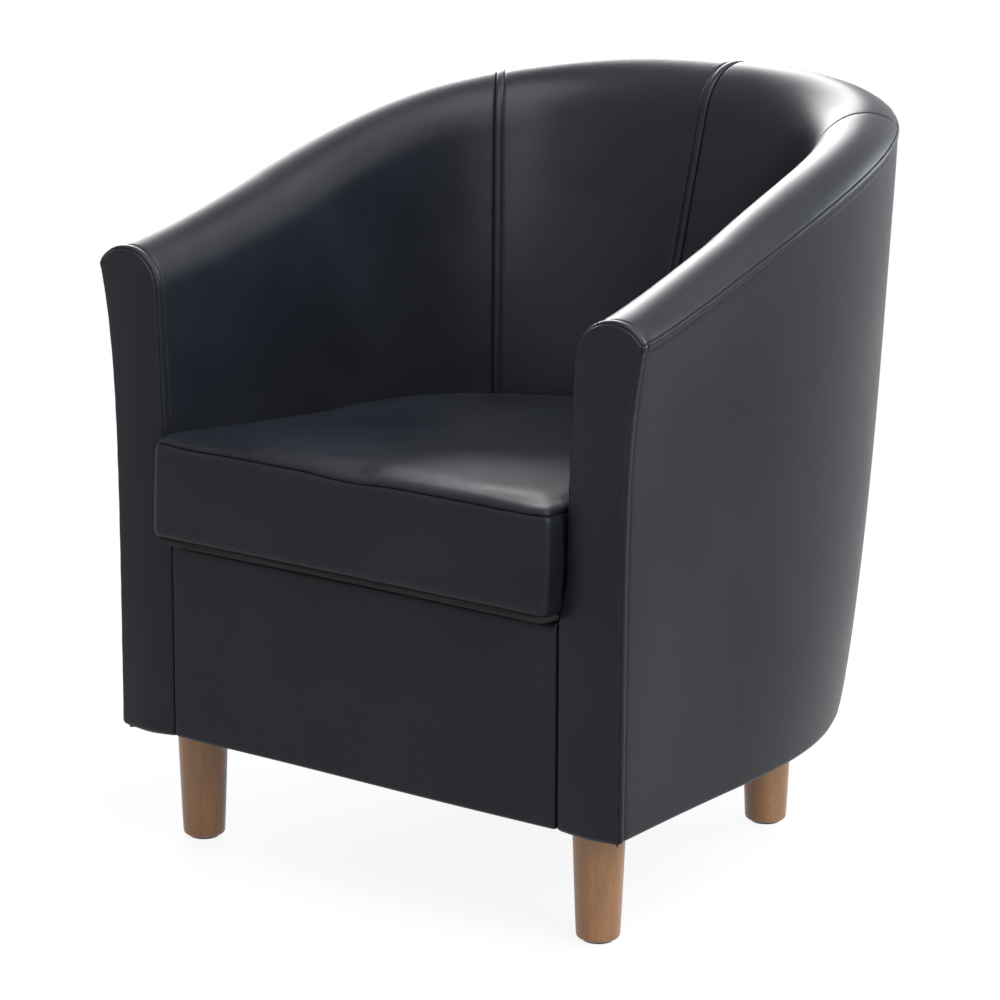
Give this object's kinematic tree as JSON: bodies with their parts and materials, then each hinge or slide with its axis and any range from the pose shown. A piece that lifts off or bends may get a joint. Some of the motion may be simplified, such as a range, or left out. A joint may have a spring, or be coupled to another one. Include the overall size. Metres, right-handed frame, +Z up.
{
  "type": "tub chair",
  "caption": "Tub armchair with a rolled wraparound back, sewn leather-look covers, a loose box seat cushion and turned wooden legs.",
  "frame": {"origin": "on the floor under the middle of the chair's bounding box", "axes": "+Z up, the seat faces -Y, +X to the right seen from the front"},
  "size_m": [0.658, 0.7035, 0.7517],
  "materials": {
    "black_leather": "soft semi-matt, fine grain",
    "foam": "open-cell polyurethane foam",
    "fibreboard": "matt",
    "frame_wood": "sawn plywood and softwood",
    "webbing": "woven elastic webbing",
    "deck_cloth": "woven platform cloth",
    "dust_cloth": "spunbonded felt",
    "staple_steel": "bright",
    "zinc_steel": "zinc plated",
    "beech": "clear satin lacquer",
    "glide_plastic": "moulded",
    "zip_tape": "woven nylon zip tape"
  },
  "bodies": {
    "root": {"outside_cover": "black_leather", "arm_cover_left": "black_leather", "arm_cover_right": "black_leather", "back_cover_left": "black_leather", "back_cover_right": "black_leather", "facing_left": "black_leather", "facing_right": "black_leather", "front_panel": "black_leather", "arm_foam_left": "foam", "arm_foam_right": "foam", "back_foam_left": "foam", "back_foam_right": "foam", "facing_foam_left": "foam", "facing_foam_right": "foam", "front_foam": "foam", "side_board_left": "fibreboard", "side_board_right": "fibreboard", "back_board": "fibreboard", "arm_board_left": "frame_wood", "arm_board_right": "frame_wood", "front_rail": "frame_wood", "front_cleat_left": "frame_wood", "front_cleat_right": "frame_wood", "base_ring": "frame_wood", "seat_ring": "frame_wood", "top_hoop": "frame_wood", "back_rib": "frame_wood", "arm_rib_left": "frame_wood", "arm_rib_right": "frame_wood", "corner_rib_left": "frame_wood", "corner_rib_right": "frame_wood", "back_rib_left": "frame_wood", "back_rib_right": "frame_wood", "leg_blocks": "frame_wood", "inside_webbing": "webbing", "long_webbing": "webbing", "cross_webbing": "webbing", "deck_cloth": "deck_cloth", "dust_cover": "dust_cloth", "webbing_staples": "staple_steel", "dust_staples": "staple_steel", "tee_nuts": "zinc_steel", "hanger_bolts": "zinc_steel", "leg_front_left": "beech", "leg_front_right": "beech", "leg_rear_left": "beech", "leg_rear_right": "beech", "leg_glides": "glide_plastic"},
    "cushion": {"cushion_top": "black_leather", "cushion_border": "black_leather", "cushion_bottom": "deck_cloth", "cushion_foam": "foam", "cushion_zip": "zip_tape"},
    "zip_slider": {"zip_slider": "zinc_steel"}
  },
  "joints": [
    {"name": "cushion_lift", "type": "slide", "parent": "root", "child": "cushion", "axis": [0, 0, 1], "range_m": [0, 0.43]},
    {"name": "zip_run", "type": "hinge", "parent": "cushion", "child": "zip_slider", "pos_m": [0, -0.1254, 0.36876], "axis": [0, 0.0523, 0.9986], "range_deg": [0, 46]}
  ]
}
